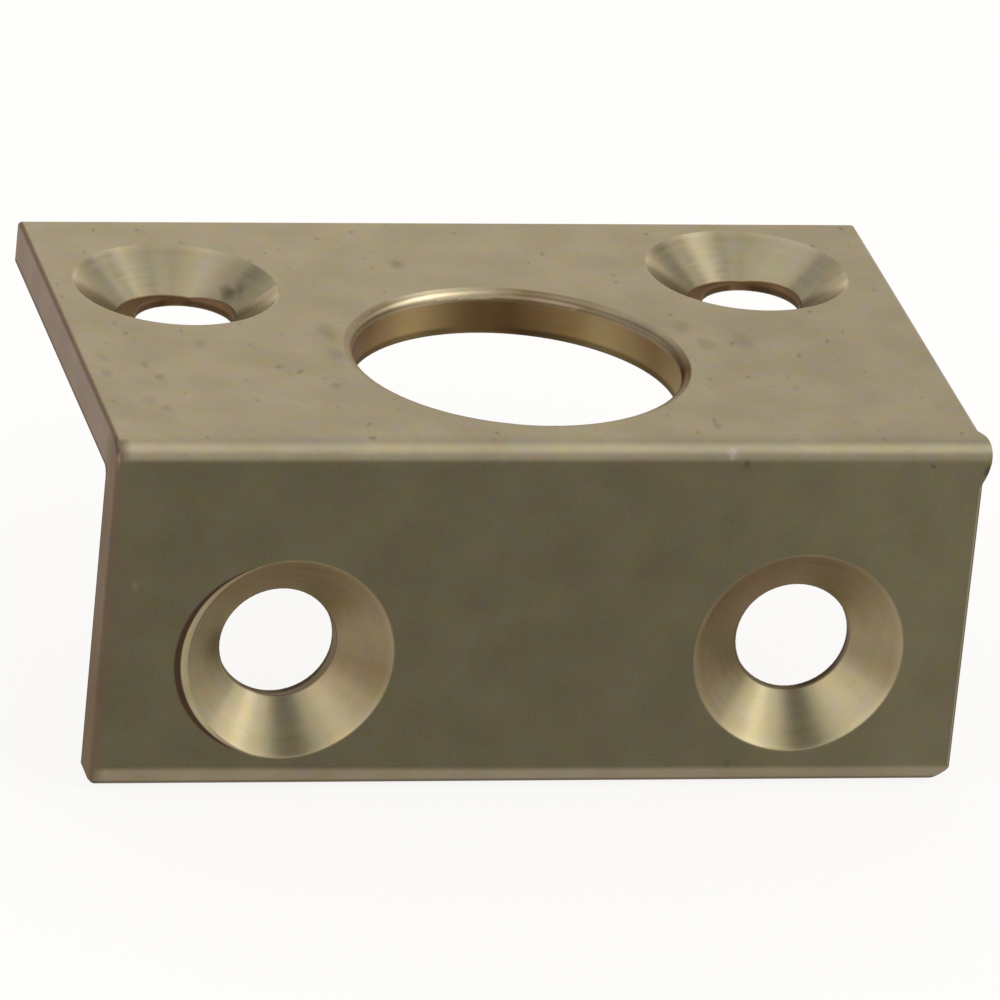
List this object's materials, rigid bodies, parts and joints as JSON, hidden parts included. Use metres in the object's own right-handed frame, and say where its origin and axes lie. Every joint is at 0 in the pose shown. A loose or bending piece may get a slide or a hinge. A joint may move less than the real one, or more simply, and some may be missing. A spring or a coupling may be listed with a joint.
{
  "type": "door strike plate",
  "caption": "Folded brass angle strike plate: round bolt hole and countersunk screw holes in the top leg, more screw holes in the front leg.",
  "frame": {"origin": "axis of the bolt hole, at the underside of the top leg, which seats on the door frame or threshold", "axes": "+Z out of the outer face of the top leg, along the bolt hole, the way the bolt leaves; +X along the bend; the front leg hangs down on the -Y side"},
  "size_m": [0.0382, 0.0244, 0.0161],
  "materials": {
    "strike_plate": "satin"
  },
  "bodies": {
    "root": {"strike_plate": "strike_plate"}
  },
  "joints": []
}
